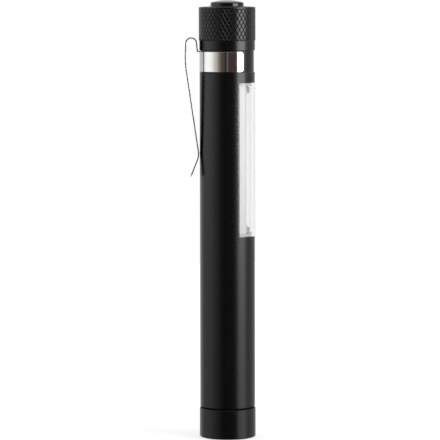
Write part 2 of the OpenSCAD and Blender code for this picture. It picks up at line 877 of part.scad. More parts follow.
// Domed push button with a hidden flange
module push_button() {
    button_r = button_d / 2;
    rim = button_r - button_round;
    dome_z = z_apex - button_dome_r;
    rim_z = dome_z + sqrt(pow(button_dome_r - button_round, 2) - pow(rim, 2));
    turn = atan2(rim_z - dome_z, rim);
    color([0.09, 0.09, 0.09])
        rotate_extrude()
            polygon(concat(
                [
                    [0, z_button],
                    [button_r + button_flange, z_button],
                    [button_r + button_flange, z_pocket - seat_gap],
                    [button_r, z_pocket - seat_gap]
                ],
                arc([rim, rim_z], button_round, 0, turn),
                arc([0, dome_z], button_dome_r, turn, 90)
            ));
}

// Plunger under the button, with the collar that its spring lifts
module switch_plunger() {
    color([0.85, 0.83, 0.78])
        union() {
            disc(plunger_d / 2, z_plunger, z_button);
            disc(plunger_collar_d / 2, z_plunger, z_plunger + plunger_collar_t);
        }
}

barrel();
head_bezel();
head_gasket();
lens_seal();
front_lens();
reflector();
front_led();
led_board();
led_leads();
heat_sink();
driver_board();
driver_parts();
positive_spring();
battery_sleeve();
lower_cell();
upper_cell();
strip_leads();
reflector_tray();
strip_board();
glow_strip();
window_lens();
neck_seal();
clip_band();
clip_arm();
tail_spring();
tail_cap();
switch_retainer();
switch_housing();
switch_board();
plunger_spring();
push_button();
switch_plunger();
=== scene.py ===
"""Looks of a pen-shaped light with a front lamp, a strip lamp under a clear side window,
a knurled tail cap with a push button, and a chromed spring clip.
Shapes are built in millimetres and turned into metres when they become objects."""

import math

import bmesh
import bpy
from mathutils import Matrix, Vector


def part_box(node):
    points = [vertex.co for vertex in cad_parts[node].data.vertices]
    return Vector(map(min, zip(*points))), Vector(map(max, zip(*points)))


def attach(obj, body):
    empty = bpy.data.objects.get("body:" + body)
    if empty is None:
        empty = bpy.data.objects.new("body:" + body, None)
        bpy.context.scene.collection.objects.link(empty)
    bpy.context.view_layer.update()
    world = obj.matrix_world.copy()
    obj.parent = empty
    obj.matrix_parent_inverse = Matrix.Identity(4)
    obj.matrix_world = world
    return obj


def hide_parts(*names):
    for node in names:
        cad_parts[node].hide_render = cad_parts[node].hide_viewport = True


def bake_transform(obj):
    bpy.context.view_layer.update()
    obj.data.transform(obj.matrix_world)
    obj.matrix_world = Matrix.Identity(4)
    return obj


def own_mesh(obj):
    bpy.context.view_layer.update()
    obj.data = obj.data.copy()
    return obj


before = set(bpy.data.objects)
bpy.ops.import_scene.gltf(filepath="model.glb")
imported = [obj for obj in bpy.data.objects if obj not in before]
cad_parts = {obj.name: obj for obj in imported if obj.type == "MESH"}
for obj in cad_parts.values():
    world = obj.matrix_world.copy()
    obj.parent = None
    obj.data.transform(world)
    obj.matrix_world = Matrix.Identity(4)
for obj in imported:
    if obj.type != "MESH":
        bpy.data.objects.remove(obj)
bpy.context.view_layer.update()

MM = 0.001


# Places read from the frame, in millimetres

def low(node, axis):
    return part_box(node)[0][axis] / MM


def high(node, axis):
    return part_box(node)[1][axis] / MM


X, Y, Z = range(3)
CAP_Z = low("tail_cap", Z)
CAP_CROWN = 0.35
CAP_TOP = high("tail_cap", Z) - CAP_CROWN
KNURL_R = high("tail_cap", Y)
BARREL_R = high("barrel", X)
BUTTON_TOP = high("push_button", Z)
BUTTON_FOOT = low("push_button", Z)
BUTTON_FLANGE_R = high("push_button", Y)
BAND_Z = low("clip_band", Z)
CLIP_W = high("clip_arm", Y) - low("clip_arm", Y)

# Angles in degrees from which an edge is shaded sharp
SHARP = 35
CAP_SHARP = 20
CLIP_SHARP = 40
LAMP_SHARP = 30

# Tail cap
COLLAR_STEP = 0.16
COLLAR_R = KNURL_R - COLLAR_STEP
COLLAR_LEN = 3.15
RIM_STEP = 0.03
RIM_R = KNURL_R - RIM_STEP
RIM_LEN = 0.45
RIM_ROUND = 0.18
HOLE_ROUND = 0.12
SEAM = 0.06
KNURL_RUN = 0.25
KNURL_LINES = 42
KNURL_RISE = 2.45
GROOVE_WIDTH = 0.3
GROOVE_SHOULDER = 0.042
GROOVE_DEPTH = 0.12
GROOVE_KNEE = 0.5
SPARE_CELLS = 2
SAME_LEVEL = 1e-4
CAP_STEPS = 168
NUT_GAP = 0.05
NUT_R = high("switch_retainer", Y) + NUT_GAP
SHOULDER_Z = high("switch_housing", Z)

# Push button
BUTTON_LEDGE = 0.7
BUTTON_R = BUTTON_FLANGE_R - BUTTON_LEDGE
BUTTON_DOME_R = 19.0
BUTTON_ROUND = 0.55
BUTTON_FLANGE_T = 1.2
BUTTON_STEPS = 128
BUTTON_ARC_STEPS = 10
HOLE_GAP = 0.1
BUTTON_HOLE_R = BUTTON_R + HOLE_GAP
POCKET_GAP = 0.2
POCKET_R = BUTTON_FLANGE_R + POCKET_GAP
POCKET_LIFT = 0.1
POCKET_Z = BUTTON_FOOT + BUTTON_FLANGE_T + POCKET_LIFT

# Clip, along its path in the X-Z plane
SHEET_T = 0.45
SHEET_EDGE = 0.06
BAND_R = high("clip_band", Y) - SHEET_T
BAND_GAP = 0.4
BAND_HEIGHT = CAP_Z - BAND_GAP - BAND_Z
BAND_OPEN = 55
BAND_CORNER = 1.1
BAND_STEPS = 96
CORNER_STEPS = 8
ROOT_DROP = 0.15
ROOT_R = 0.55
ROOT_GAP = 0.425
RISER_LEAN = 6.0
LOOP_R = 1.75
LOOP_RISE = 2.4
ARM_LEAN = 2.4
ARM_TOP_LEN = 3.5
BOW_R = 30.0
ARM_DROP = 34.0
ARM_GAP = 0.16
TOUCH_R = 6.0
LIP_LEAN = 21.6
LIP_LEN = 5.9
LIP_CORNER = 1.8
ROOT_STEPS = 10
LOOP_STEPS = 28
BOW_STEPS = 12
TOUCH_STEPS = 10


# Mesh helpers

ROUND_STEPS = 6
EDGE_STEPS = 3


def polar(r, angle, z):
    return Vector((r * math.cos(angle), r * math.sin(angle), z))


def angle_of(vert):
    return math.atan2(vert.co.y, vert.co.x)


def rounded(corners, steps=ROUND_STEPS):
    """Points through (x, y, radius) corners, open or closed, each one with a radius rounded by an arc."""
    points = []
    for i, (x, y, r) in enumerate(corners):
        here = Vector((x, y))
        if r == 0:
            points.append(here)
            continue
        before = (Vector(corners[i - 1][:2]) - here).normalized()
        after = (Vector(corners[(i + 1) % len(corners)][:2]) - here).normalized()
        half = before.angle(after) / 2
        centre = here + (before + after).normalized() * (r / math.sin(half))
        first = here + before * (r / math.tan(half)) - centre
        last = here + after * (r / math.tan(half)) - centre
        turn = first.angle_signed(last)
        for k in range(steps + 1):
            a = -turn * k / steps
            points.append(centre + Matrix.Rotation(a, 2) @ first)
    return [(p.x, p.y) for p in points]


def ring_of(bm, r, z, steps):
    if r == 0:
        return [bm.verts.new((0, 0, z))]
    return [bm.verts.new(polar(r, 2 * math.pi * i / steps - math.pi, z)) for i in range(steps)]


def bridge(bm, one, other):
    """Faces between two rings, either of which may be a single vertex."""
    n = max(len(one), len(other))
    for i in range(n):
        j = (i + 1) % n
        if len(one) == 1:
            bm.faces.new((one[0], other[j], other[i]))
        elif len(other) == 1:
            bm.faces.new((one[i], one[j], other[0]))
        else:
            bm.faces.new((one[i], one[j], other[j], other[i]))


def lathe(bm, profile, steps):
    """Turns a profile of (radius, height) points about Z and returns its rings."""
    rings = [ring_of(bm, r, z, steps) for r, z in profile]
    for one, other in zip(rings, rings[1:]):
        bridge(bm, one, other)
    return rings


def zip_rings(bm, one, other):
    """Triangles between two rings with different numbers of vertices, matched by their angles."""
    one = sorted(one, key=angle_of)
    other = sorted(other, key=angle_of)

    def angle(ring, i):
        return angle_of(ring[i % len(ring)]) + 2 * math.pi * (i // len(ring))

    i = j = 0
    while i < len(one) or j < len(other):
        a, b = one[i % len(one)], other[j % len(other)]
        if j == len(other) or (i < len(one) and angle(one, i + 1) <= angle(other, j + 1)):
            bm.faces.new((a, one[(i + 1) % len(one)], b))
            i += 1
        else:
            bm.faces.new((a, other[(j + 1) % len(other)], b))
            j += 1


def sweep(bm, stations):
    """A closed strip of sheet along stations of (place, across the sheet, along its width, width)."""
    rings = []
    for place, across, along, width in stations:
        half_t = SHEET_T / 2
        half_w = width / 2
        e = SHEET_EDGE
        corners = [(half_t, half_w, e), (-half_t, half_w, e), (-half_t, -half_w, e), (half_t, -half_w, e)]
        outline = rounded(corners, EDGE_STEPS)
        rings.append([bm.verts.new(place + across * p[0] + along * p[1]) for p in outline])
    for one, other in zip(rings, rings[1:]):
        bridge(bm, one, other)
    bm.faces.new(rings[0])
    bm.faces.new(rings[-1])


def apply_modifiers(obj):
    """Turns the object's modifiers into its mesh."""
    graph = bpy.context.evaluated_depsgraph_get()
    mesh = bpy.data.meshes.new_from_object(obj.evaluated_get(graph))
    obj.modifiers.clear()
    obj.data = mesh


def shade(obj, sharp):
    """Smooth shading up to a sharp angle, with normals that keep the large faces true."""
    obj.data.shade_smooth()
    obj.data.set_sharp_from_angle(angle=math.radians(sharp))
    weigh = obj.modifiers.new("weigh", "WEIGHTED_NORMAL")
    weigh.keep_sharp = True
    apply_modifiers(obj)


def to_object(bm, name, material, sharp=SHARP):
    """A smooth-shaded object in metres from a mesh in millimetres."""
    bmesh.ops.recalc_face_normals(bm, faces=bm.faces)
    mesh = bpy.data.meshes.new(name)
    bm.to_mesh(mesh)
    bm.free()
    mesh.transform(Matrix.Scale(MM, 4))
    mesh.materials.append(material)
    obj = bpy.data.objects.new(name, mesh)
    bpy.context.scene.collection.objects.link(obj)
    shade(obj, sharp)
    return obj


def merged(one, other, operation, sharp):
    """One closed mesh from two that overlap, joined or cut; the second object is removed."""
    change = one.modifiers.new("change", "BOOLEAN")
    change.operation = operation
    change.solver = "EXACT"
    change.object = other
    apply_modifiers(one)
    bpy.data.objects.remove(other)
    shade(one, sharp)
    return one


# Material helpers

# Span of the noise that a finish uses, and how fine the noise is within a spot
NOISE_LOW = 0.3
NOISE_HIGH = 0.7
NOISE_DETAIL = 2.0


def fresh(slot):
    """Node tree and main shader of the frame's material for a slot, or of a new one, emptied."""
    material = bpy.data.materials.get(slot) or bpy.data.materials.new(slot)
    material.use_nodes = True
    tree = material.node_tree
    tree.nodes.clear()
    output = tree.nodes.new("ShaderNodeOutputMaterial")
    shader = tree.nodes.new("ShaderNodeBsdfPrincipled")
    tree.links.new(shader.outputs["BSDF"], output.inputs["Surface"])
    return tree, shader


def noise(tree, per_mm):
    """A noise value with about per_mm spots a millimetre, fixed to the object."""
    place = tree.nodes.new("ShaderNodeTexCoord")
    texture = tree.nodes.new("ShaderNodeTexNoise")
    texture.inputs["Scale"].default_value = per_mm / MM
    texture.inputs["Detail"].default_value = NOISE_DETAIL
    tree.links.new(place.outputs["Object"], texture.inputs["Vector"])
    return texture.outputs["Fac"]


def colours(tree, value, stops):
    """A colour ramp over a value, from (place, colour) stops."""
    node = tree.nodes.new("ShaderNodeValToRGB")
    elements = node.color_ramp.elements
    while len(elements) < len(stops):
        elements.new(1.0)
    for element, (place, colour) in zip(elements, stops):
        element.position = place
        element.color = (*colour, 1)
    tree.links.new(value, node.inputs["Fac"])
    return node.outputs["Color"]


def between(tree, value, from_low, from_high, to_low, to_high):
    """A value carried from one range to another and held at its ends."""
    node = tree.nodes.new("ShaderNodeMapRange")
    names = ("From Min", "From Max", "To Min", "To Max")
    for name, number in zip(names, (from_low, from_high, to_low, to_high)):
        node.inputs[name].default_value = number
    tree.links.new(value, node.inputs["Value"])
    return node.outputs["Result"]


def blend_colours(tree, share, one, other):
    node = tree.nodes.new("ShaderNodeMix")
    node.data_type = "RGBA"
    tree.links.new(share, node.inputs["Factor"])
    sockets = [socket for socket in node.inputs if socket.type == "RGBA"]
    tree.links.new(one, sockets[0])
    tree.links.new(other, sockets[1])
    return [socket for socket in node.outputs if socket.type == "RGBA"][0]


def combine(tree, operation, *values):
    node = tree.nodes.new("ShaderNodeMath")
    node.operation = operation
    for value, socket in zip(values, node.inputs):
        tree.links.new(value, socket)
    return node.outputs["Value"]


def relief(tree, shader, height, depth_mm):
    """Bump of a depth in millimetres from a height value."""
    node = tree.nodes.new("ShaderNodeBump")
    node.inputs["Distance"].default_value = depth_mm * MM
    node.inputs["Strength"].default_value = 1
    tree.links.new(height, node.inputs["Height"])
    tree.links.new(node.outputs["Normal"], shader.inputs["Normal"])


def set_inputs(shader, **values):
    for name, value in values.items():
        shader.inputs[name.replace("_", " ")].default_value = value


def mottled(slot, dark, pale, per_mm, rough, rough_per_mm, grain_per_mm, grain_mm, **values):
    """A finish with a slow change of colour, a change of roughness and a fine grain."""
    tree, shader = fresh(slot)
    set_inputs(shader, **values)
    tint = colours(tree, noise(tree, per_mm), [(NOISE_LOW, dark), (NOISE_HIGH, pale)])
    tree.links.new(tint, shader.inputs["Base Color"])
    rough_value = between(tree, noise(tree, rough_per_mm), NOISE_LOW, NOISE_HIGH, *rough)
    tree.links.new(rough_value, shader.inputs["Roughness"])
    relief(tree, shader, noise(tree, grain_per_mm), grain_mm)
    return bpy.data.materials[slot]


# Materials: one for each slot of the record, and two greys for small pieces at the ends of the tray, which
# paint the shade there

BLACK = mottled(
    "black_anodised", dark=(0.0015, 0.0015, 0.0016), pale=(0.003, 0.003, 0.0031), per_mm=0.8,
    rough=(0.25, 0.29), rough_per_mm=2.5, grain_per_mm=7.0, grain_mm=0.0007,
)
mottled(
    "bare_aluminium", dark=(0.55, 0.56, 0.57), pale=(0.68, 0.69, 0.7), per_mm=0.6,
    rough=(0.25, 0.4), rough_per_mm=3.0, grain_per_mm=5.0, grain_mm=0.002,
    Metallic=1.0,
)
mottled(
    "black_rubber", dark=(0.0015, 0.0015, 0.0015), pale=(0.003, 0.003, 0.003), per_mm=1.2,
    rough=(0.6, 0.75), rough_per_mm=2.0, grain_per_mm=6.0, grain_mm=0.004,
    Specular_IOR_Level=0.06,
)
RUBBER = mottled(
    "button_rubber", dark=(0.003, 0.003, 0.003), pale=(0.006, 0.006, 0.006), per_mm=1.0,
    rough=(0.16, 0.22), rough_per_mm=2.0, grain_per_mm=6.0, grain_mm=0.0015,
)
mottled(
    "clear_lens", dark=(0.95, 0.97, 0.97), pale=(0.98, 0.99, 0.99), per_mm=0.3,
    rough=(0.0, 0.01), rough_per_mm=1.0, grain_per_mm=0.4, grain_mm=0.0002,
    Transmission_Weight=1.0, IOR=1.5,
)
mottled(
    "clear_window", dark=(0.96, 0.97, 0.965), pale=(0.98, 0.985, 0.98), per_mm=0.3,
    rough=(0.0, 0.015), rough_per_mm=1.0, grain_per_mm=0.4, grain_mm=0.0002,
    Transmission_Weight=1.0, IOR=1.49,
)
mottled(
    "reflector_chrome", dark=(0.82, 0.83, 0.84), pale=(0.9, 0.9, 0.91), per_mm=0.8,
    rough=(0.06, 0.14), rough_per_mm=3.0, grain_per_mm=2.5, grain_mm=0.004,
    Metallic=1.0,
)
mottled(
    "phosphor", dark=(0.86, 0.62, 0.08), pale=(0.93, 0.74, 0.16), per_mm=1.6,
    rough=(0.45, 0.6), rough_per_mm=2.0, grain_per_mm=5.0, grain_mm=0.006,
)
WHITE = mottled(
    "white_plastic", dark=(0.92, 0.92, 0.905), pale=(0.96, 0.96, 0.95), per_mm=0.25,
    rough=(0.35, 0.5), rough_per_mm=1.5, grain_per_mm=4.0, grain_mm=0.002,
)
# Painted shade: the white plastic of the end walls, made grey for the shade at the window's ends
TAB_SHADED = mottled(
    "tab_plastic_shaded", dark=(0.7, 0.7, 0.69), pale=(0.76, 0.76, 0.75), per_mm=0.25,
    rough=(0.35, 0.5), rough_per_mm=1.5, grain_per_mm=4.0, grain_mm=0.002,
)
mottled(
    "white_board", dark=(0.78, 0.78, 0.75), pale=(0.86, 0.86, 0.83), per_mm=0.4,
    rough=(0.4, 0.55), rough_per_mm=2.0, grain_per_mm=5.0, grain_mm=0.002,
)
mottled(
    "green_board", dark=(0.015, 0.09, 0.035), pale=(0.03, 0.14, 0.06), per_mm=0.5,
    rough=(0.3, 0.45), rough_per_mm=2.0, grain_per_mm=5.0, grain_mm=0.002,
)
mottled(
    "black_plastic", dark=(0.02, 0.02, 0.021), pale=(0.032, 0.032, 0.033), per_mm=0.7,
    rough=(0.4, 0.55), rough_per_mm=2.0, grain_per_mm=5.0, grain_mm=0.003,
)
mottled(
    "ivory_plastic", dark=(0.68, 0.64, 0.55), pale=(0.76, 0.72, 0.63), per_mm=0.5,
    rough=(0.35, 0.5), rough_per_mm=2.0, grain_per_mm=5.0, grain_mm=0.002,
)
mottled(
    "lead_wire", dark=(0.42, 0.02, 0.015), pale=(0.52, 0.035, 0.025), per_mm=0.8,
    rough=(0.35, 0.5), rough_per_mm=2.0, grain_per_mm=5.0, grain_mm=0.002,
)
mottled(
    "contact_steel", dark=(0.6, 0.58, 0.53), pale=(0.72, 0.7, 0.64), per_mm=0.9,
    rough=(0.2, 0.32), rough_per_mm=3.0, grain_per_mm=6.0, grain_mm=0.001,
    Metallic=1.0,
)
# Painted shade: grey for the shoes, which stand for the shade along the end blocks of the tray
SHOE_SHADE = mottled(
    "shoe_painted_shade", dark=(0.4, 0.4, 0.39), pale=(0.48, 0.48, 0.47), per_mm=0.9,
    rough=(0.3, 0.42), rough_per_mm=3.0, grain_per_mm=6.0, grain_mm=0.001,
    Metallic=1.0,
)
CHROME = mottled(
    "clip_chrome", dark=(0.83, 0.83, 0.82), pale=(0.88, 0.88, 0.87), per_mm=0.3,
    rough=(0.03, 0.07), rough_per_mm=1.2, grain_per_mm=0.5, grain_mm=0.0003,
    Metallic=1.0,
)
mottled(
    "brass_ring", dark=(0.62, 0.45, 0.16), pale=(0.72, 0.54, 0.22), per_mm=0.8,
    rough=(0.25, 0.4), rough_per_mm=3.0, grain_per_mm=5.0, grain_mm=0.002,
    Metallic=1.0,
)
mottled(
    "cell_jacket", dark=(0.03, 0.07, 0.2), pale=(0.05, 0.1, 0.26), per_mm=0.3,
    rough=(0.25, 0.35), rough_per_mm=2.0, grain_per_mm=4.0, grain_mm=0.001,
)


# Knurled tail cap

KNURL_PITCH = 2 * math.pi * KNURL_R / KNURL_LINES
GROOVE_HALF = GROOVE_WIDTH / 2 / (KNURL_PITCH * math.cos(math.atan(KNURL_PITCH / KNURL_RISE)))


def groove(place):
    """Depth of a groove at a place counted in pitches: a flat shoulder that steepens to the bottom."""
    off = abs(place - round(place)) / GROOVE_HALF
    if off >= 1:
        return 0
    if off >= GROOVE_KNEE:
        return GROOVE_SHOULDER * (1 - off) / (1 - GROOVE_KNEE)
    return GROOVE_SHOULDER + (GROOVE_DEPTH - GROOVE_SHOULDER) * (1 - off / GROOVE_KNEE)


def knurl_radius(angle, z, z_from, z_to):
    """Radius of the knurl at a place, drawn in to the collar and the rim at its ends."""
    a = angle * KNURL_LINES / (2 * math.pi)
    b = (z - z_from) / KNURL_RISE
    foot = COLLAR_R + (KNURL_R - COLLAR_R) * min(z - z_from, KNURL_RUN) / KNURL_RUN
    head = RIM_R + (KNURL_R - RIM_R) * min(z_to - z, KNURL_RUN) / KNURL_RUN
    return min(KNURL_R - max(groove(a + b), groove(a - b)), foot, head)


def knurl(bm, z_from, z_to):
    """Diamond grid whose edges follow both sets of crossing grooves, cut level at both ends."""
    half = GROOVE_HALF
    knee = half * GROOVE_KNEE
    places = (0, knee, half, 0.5, 1 - half, 1 - knee)
    cells = len(places)
    innermost = cells // 2 - 1
    verts = {}

    def vert(i, j, k, l):
        i, k = i + k // cells, k % cells
        j, l = j + l // cells, l % cells
        turns = j // KNURL_LINES * KNURL_LINES
        key = (i - turns, j - turns, k, l)
        if key not in verts:
            u = key[0] + places[k]
            v = key[1] + places[l]
            angle = math.pi * (u + v) / KNURL_LINES
            verts[key] = bm.verts.new(polar(KNURL_R, angle, z_from + (u - v) / 2 * KNURL_RISE))
        return verts[key]

    rows = math.ceil(2 * (z_to - z_from) / KNURL_RISE)
    for j in range(KNURL_LINES):
        for i in range(j - SPARE_CELLS, j + rows + SPARE_CELLS):
            for k in range(cells):
                for l in range(cells):
                    a, b = vert(i, j, k, l), vert(i, j, k + 1, l)
                    c, d = vert(i, j, k + 1, l + 1), vert(i, j, k, l + 1)
                    inset_k, inset_l = min(k, cells - 1 - k), min(l, cells - 1 - l)
                    if inset_k != inset_l or inset_k == innermost:
                        bm.faces.new((a, b, c, d))
                    elif k == l:
                        bm.faces.new((a, b, c))
                        bm.faces.new((a, c, d))
                    else:
                        bm.faces.new((a, b, d))
                        bm.faces.new((b, c, d))
    for z in (z_from, z_from + KNURL_RUN, z_to - KNURL_RUN, z_to):
        everything = bm.verts[:] + bm.edges[:] + bm.faces[:]
        bmesh.ops.bisect_plane(
            bm, geom=everything, plane_co=(0, 0, z), plane_no=(0, 0, 1),
            clear_inner=z == z_from, clear_outer=z == z_to,
        )
    for v in bm.verts:
        v.co = polar(knurl_radius(angle_of(v), v.co.z, z_from, z_to), angle_of(v), v.co.z)
    return [[v for v in bm.verts if abs(v.co.z - z) < SAME_LEVEL] for z in (z_from, z_to)]


def make_tail_cap():
    bm = bmesh.new()
    z_from = CAP_Z + COLLAR_LEN
    z_to = CAP_TOP - RIM_LEN
    lower_end, upper_end = knurl(bm, z_from, z_to)
    profile = rounded([
        (RIM_R, z_to + SEAM, 0),
        (RIM_R, CAP_TOP, RIM_ROUND),
        (BUTTON_HOLE_R, CAP_TOP + CAP_CROWN, HOLE_ROUND),
        (BUTTON_HOLE_R, POCKET_Z, 0),
        (POCKET_R, POCKET_Z, 0),
        (POCKET_R, SHOULDER_Z, 0),
        (NUT_R, SHOULDER_Z, 0),
        (NUT_R, CAP_Z, HOLE_ROUND),
        (COLLAR_R, CAP_Z, RIM_ROUND),
        (COLLAR_R, z_from - SEAM, 0),
    ])
    rings = lathe(bm, profile, CAP_STEPS)
    zip_rings(bm, upper_end, rings[0])
    zip_rings(bm, lower_end, rings[-1])
    cap = to_object(bm, "knurled_cap", BLACK, CAP_SHARP)
    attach(cap, "tail_cap")
    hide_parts("tail_cap")


# Push button

def make_button():
    bm = bmesh.new()
    dome_z = BUTTON_TOP - BUTTON_DOME_R
    rim = BUTTON_R - BUTTON_ROUND
    rim_z = dome_z + math.sqrt((BUTTON_DOME_R - BUTTON_ROUND) ** 2 - rim ** 2)
    turn = math.atan2(rim_z - dome_z, rim)
    steps = BUTTON_ARC_STEPS
    flange_z = BUTTON_FOOT + BUTTON_FLANGE_T
    profile = [(0, BUTTON_FOOT), (BUTTON_FLANGE_R, BUTTON_FOOT)]
    profile += [(BUTTON_FLANGE_R, flange_z), (BUTTON_R, flange_z)]
    for i in range(steps + 1):
        a = turn * i / steps
        profile.append((rim + BUTTON_ROUND * math.cos(a), rim_z + BUTTON_ROUND * math.sin(a)))
    for i in range(1, steps):
        a = turn + (math.pi / 2 - turn) * i / steps
        profile.append((BUTTON_DOME_R * math.cos(a), dome_z + BUTTON_DOME_R * math.sin(a)))
    profile.append((0, BUTTON_TOP))
    lathe(bm, profile, BUTTON_STEPS)
    button = to_object(bm, "domed_button", RUBBER)
    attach(button, "button")
    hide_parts("push_button")


# Spring clip

def ahead(heading):
    return Vector((math.cos(heading), math.sin(heading)))


def left(heading):
    return Vector((-math.sin(heading), math.cos(heading)))


def bend(centre, r, start, end, side, steps):
    """(place, heading) along an arc, with the centre on the left (side 1) or the right (side -1)."""
    found = []
    for i in range(steps + 1):
        heading = start + (end - start) * i / steps
        found.append((centre - side * r * left(heading), heading))
    return found


def arm_path():
    """(place, heading) pairs from the band's wall over the loop and down to the lip's end."""
    root_h = math.radians(90 + RISER_LEAN)
    arm_h = math.radians(270 - ARM_LEAN)
    lip_h = math.radians(270 - LIP_LEAN)
    root_x = -(COLLAR_R + ROOT_GAP + SHEET_T / 2) + ROOT_R * math.sin(root_h)
    root_c = Vector((root_x, CAP_Z - ROOT_DROP - SHEET_T / 2 + ROOT_R))
    riser_a = root_c + ROOT_R * left(root_h)
    loop_z = CAP_Z + LOOP_RISE
    riser_len = (loop_z - LOOP_R * left(root_h).y - riser_a.y) / math.sin(root_h)
    loop_c = riser_a + riser_len * ahead(root_h) + LOOP_R * left(root_h)
    arm_b = loop_c - LOOP_R * left(arm_h) + ARM_TOP_LEN * ahead(arm_h)
    bow_c = arm_b + BOW_R * left(arm_h)
    touch_c = Vector((-(BARREL_R + ARM_GAP + SHEET_T / 2 + TOUCH_R), CAP_Z - ARM_DROP))
    span = touch_c - bow_c
    reach_h = math.atan2(span.y, span.x) + math.asin((BOW_R + TOUCH_R) / span.length) + 2 * math.pi
    lip_a = touch_c + TOUCH_R * left(lip_h)
    path = [(Vector((-BAND_R / 2, root_c.y - ROOT_R)), math.pi)]
    path += bend(root_c, ROOT_R, math.pi, root_h, -1, ROOT_STEPS)
    path += bend(loop_c, LOOP_R, root_h, arm_h, 1, LOOP_STEPS)
    path += bend(bow_c, BOW_R, arm_h, reach_h, 1, BOW_STEPS)
    path += bend(touch_c, TOUCH_R, reach_h, lip_h, -1, TOUCH_STEPS)
    for i in range(CORNER_STEPS + 1):
        back = LIP_CORNER * (1 - math.sin(math.pi / 2 * i / CORNER_STEPS))
        path.append((lip_a + (LIP_LEN - back) * ahead(lip_h), lip_h))
    return path, loop_c


def end_width(width, back, corner):
    """Width of a strip with rounded corners at a distance back from its end."""
    if back >= corner:
        return width
    return width - 2 * (corner - math.sqrt(corner ** 2 - (corner - back) ** 2))


def make_clip():
    path, loop_c = arm_path()
    lip_end = path[-1][0]
    bm = bmesh.new()
    stations = []
    for place, heading in path:
        side = left(heading)
        width = end_width(CLIP_W, (lip_end - place).length, LIP_CORNER)
        where = Vector((place.x, 0, place.y))
        stations.append((where, Vector((side.x, 0, side.y)), Vector((0, 1, 0)), width))
    sweep(bm, stations)
    arm = to_object(bm, "clip_sheet", CHROME, CLIP_SHARP)

    bm = bmesh.new()
    cut_r = BAND_R + SHEET_T / 4
    lathe(bm, [(0, BAND_Z), (cut_r, BAND_Z), (cut_r, CAP_Z), (0, CAP_Z)], CAP_STEPS)
    arm = merged(arm, to_object(bm, "neck_cut", CHROME), "DIFFERENCE", CLIP_SHARP)

    bm = bmesh.new()
    middle_r = BAND_R + SHEET_T / 2
    span = math.radians(360 - 2 * BAND_OPEN)
    corner_span = BAND_CORNER / middle_r
    turns = [corner_span * (1 - math.cos(math.pi / 2 * i / CORNER_STEPS)) for i in range(CORNER_STEPS)]
    turns += [corner_span + (span - 2 * corner_span) * i / BAND_STEPS for i in range(BAND_STEPS + 1)]
    turns += [span - t for t in reversed(turns[:CORNER_STEPS])]
    stations = []
    for t in turns:
        angle = math.radians(BAND_OPEN) + t
        height = end_width(BAND_HEIGHT, min(t, span - t) * middle_r, BAND_CORNER)
        where = polar(middle_r, angle, BAND_Z + BAND_HEIGHT / 2)
        stations.append((where, polar(1, angle, 0), Vector((0, 0, 1)), height))
    sweep(bm, stations)
    band = to_object(bm, "clip_band_sheet", CHROME, CLIP_SHARP)

    clip = merged(arm, band, "UNION", CLIP_SHARP)
    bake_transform(clip)
    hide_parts("clip_band", "clip_arm")


# Window, with the end walls, rails and shoes at its tray; the grey shoes and the grey of the end walls
# paint the shade at the window's ends

WINDOW_WALL = 1.0
WINDOW_EDGE = 0.12
WINDOW_STEPS = 64
EDGE_SEGMENTS = 2
SHARP_EDGE = 0.6
CUT_DEPTH = 0.5
CUT_LENGTH = 1
WALL_GAP = 0.045
SHOE_R = high("window_lens", X) - WINDOW_WALL - WALL_GAP
SHOE_HALF_WIDTH = 5.55
SHOE_DEPTH = 0.85
SHOE_SIDE_STEPS = 6
TRAY_GAP = 0.05
TAB_FROM = 0.12
TAB_TO = 1.15
TAB_STEPS = 48
RAIL_STEPS = 12
SHOE_RISE = 0.05
BLOCK_START = 1.5
BLOCK_FLAT = 1.7
BLOCK_SLOPE = 1.8
BLOCK_DROP = 2.5
SHOE_END = 4.6


def prism(bm, outline, z_from, z_to):
    """Closed prism over an outline in the X-Y plane."""
    rings = [[bm.verts.new(p + Vector((0, 0, z))) for p in outline] for z in (z_from, z_to)]
    bridge(bm, *rings)
    bm.faces.new(rings[0])
    bm.faces.new(rings[1])


def d_prism(bm, r, flat, z_from, z_to, steps):
    """Prism over the part of a disc beyond a flat."""
    half = math.acos(flat / r)
    prism(bm, [polar(r, -half + 2 * half * i / steps, 0) for i in range(steps + 1)], z_from, z_to)


def make_window():
    """Half-round clear shell, open at its ends."""
    r = high("window_lens", X)
    flat = low("window_lens", X)
    z_from = low("window_lens", Z)
    z_to = high("window_lens", Z)
    material = bpy.data.materials["clear_window"]
    bm = bmesh.new()
    d_prism(bm, r, flat, z_from, z_to, WINDOW_STEPS)
    sharp = [e for e in bm.edges if e.calc_face_angle() > SHARP_EDGE]
    bmesh.ops.bevel(
        bm, geom=sharp, offset=WINDOW_EDGE, segments=EDGE_SEGMENTS, profile=0.5,
        affect="EDGES", clamp_overlap=True,
    )
    shell = to_object(bm, "clear_window_shell", material, LAMP_SHARP)
    bm = bmesh.new()
    d_prism(bm, r - WINDOW_WALL, flat - CUT_DEPTH, z_from - CUT_LENGTH, z_to + CUT_LENGTH, WINDOW_STEPS)
    hollow = to_object(bm, "window_hollow", material, LAMP_SHARP)
    shell = merged(shell, hollow, "DIFFERENCE", LAMP_SHARP)
    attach(shell, "barrel")
    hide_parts("window_lens")


def make_tab(name, z_end, toward):
    """End wall of the strip lamp, closing one end of the window, in white plastic painted grey for the
    shade there.
    """
    bm = bmesh.new()
    places = sorted(z_end + toward * along for along in (TAB_FROM, TAB_TO))
    d_prism(bm, SHOE_R, low("reflector_tray", X) + TRAY_GAP, *places, TAB_STEPS)
    tab = to_object(bm, name, TAB_SHADED, LAMP_SHARP)
    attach(tab, "barrel")


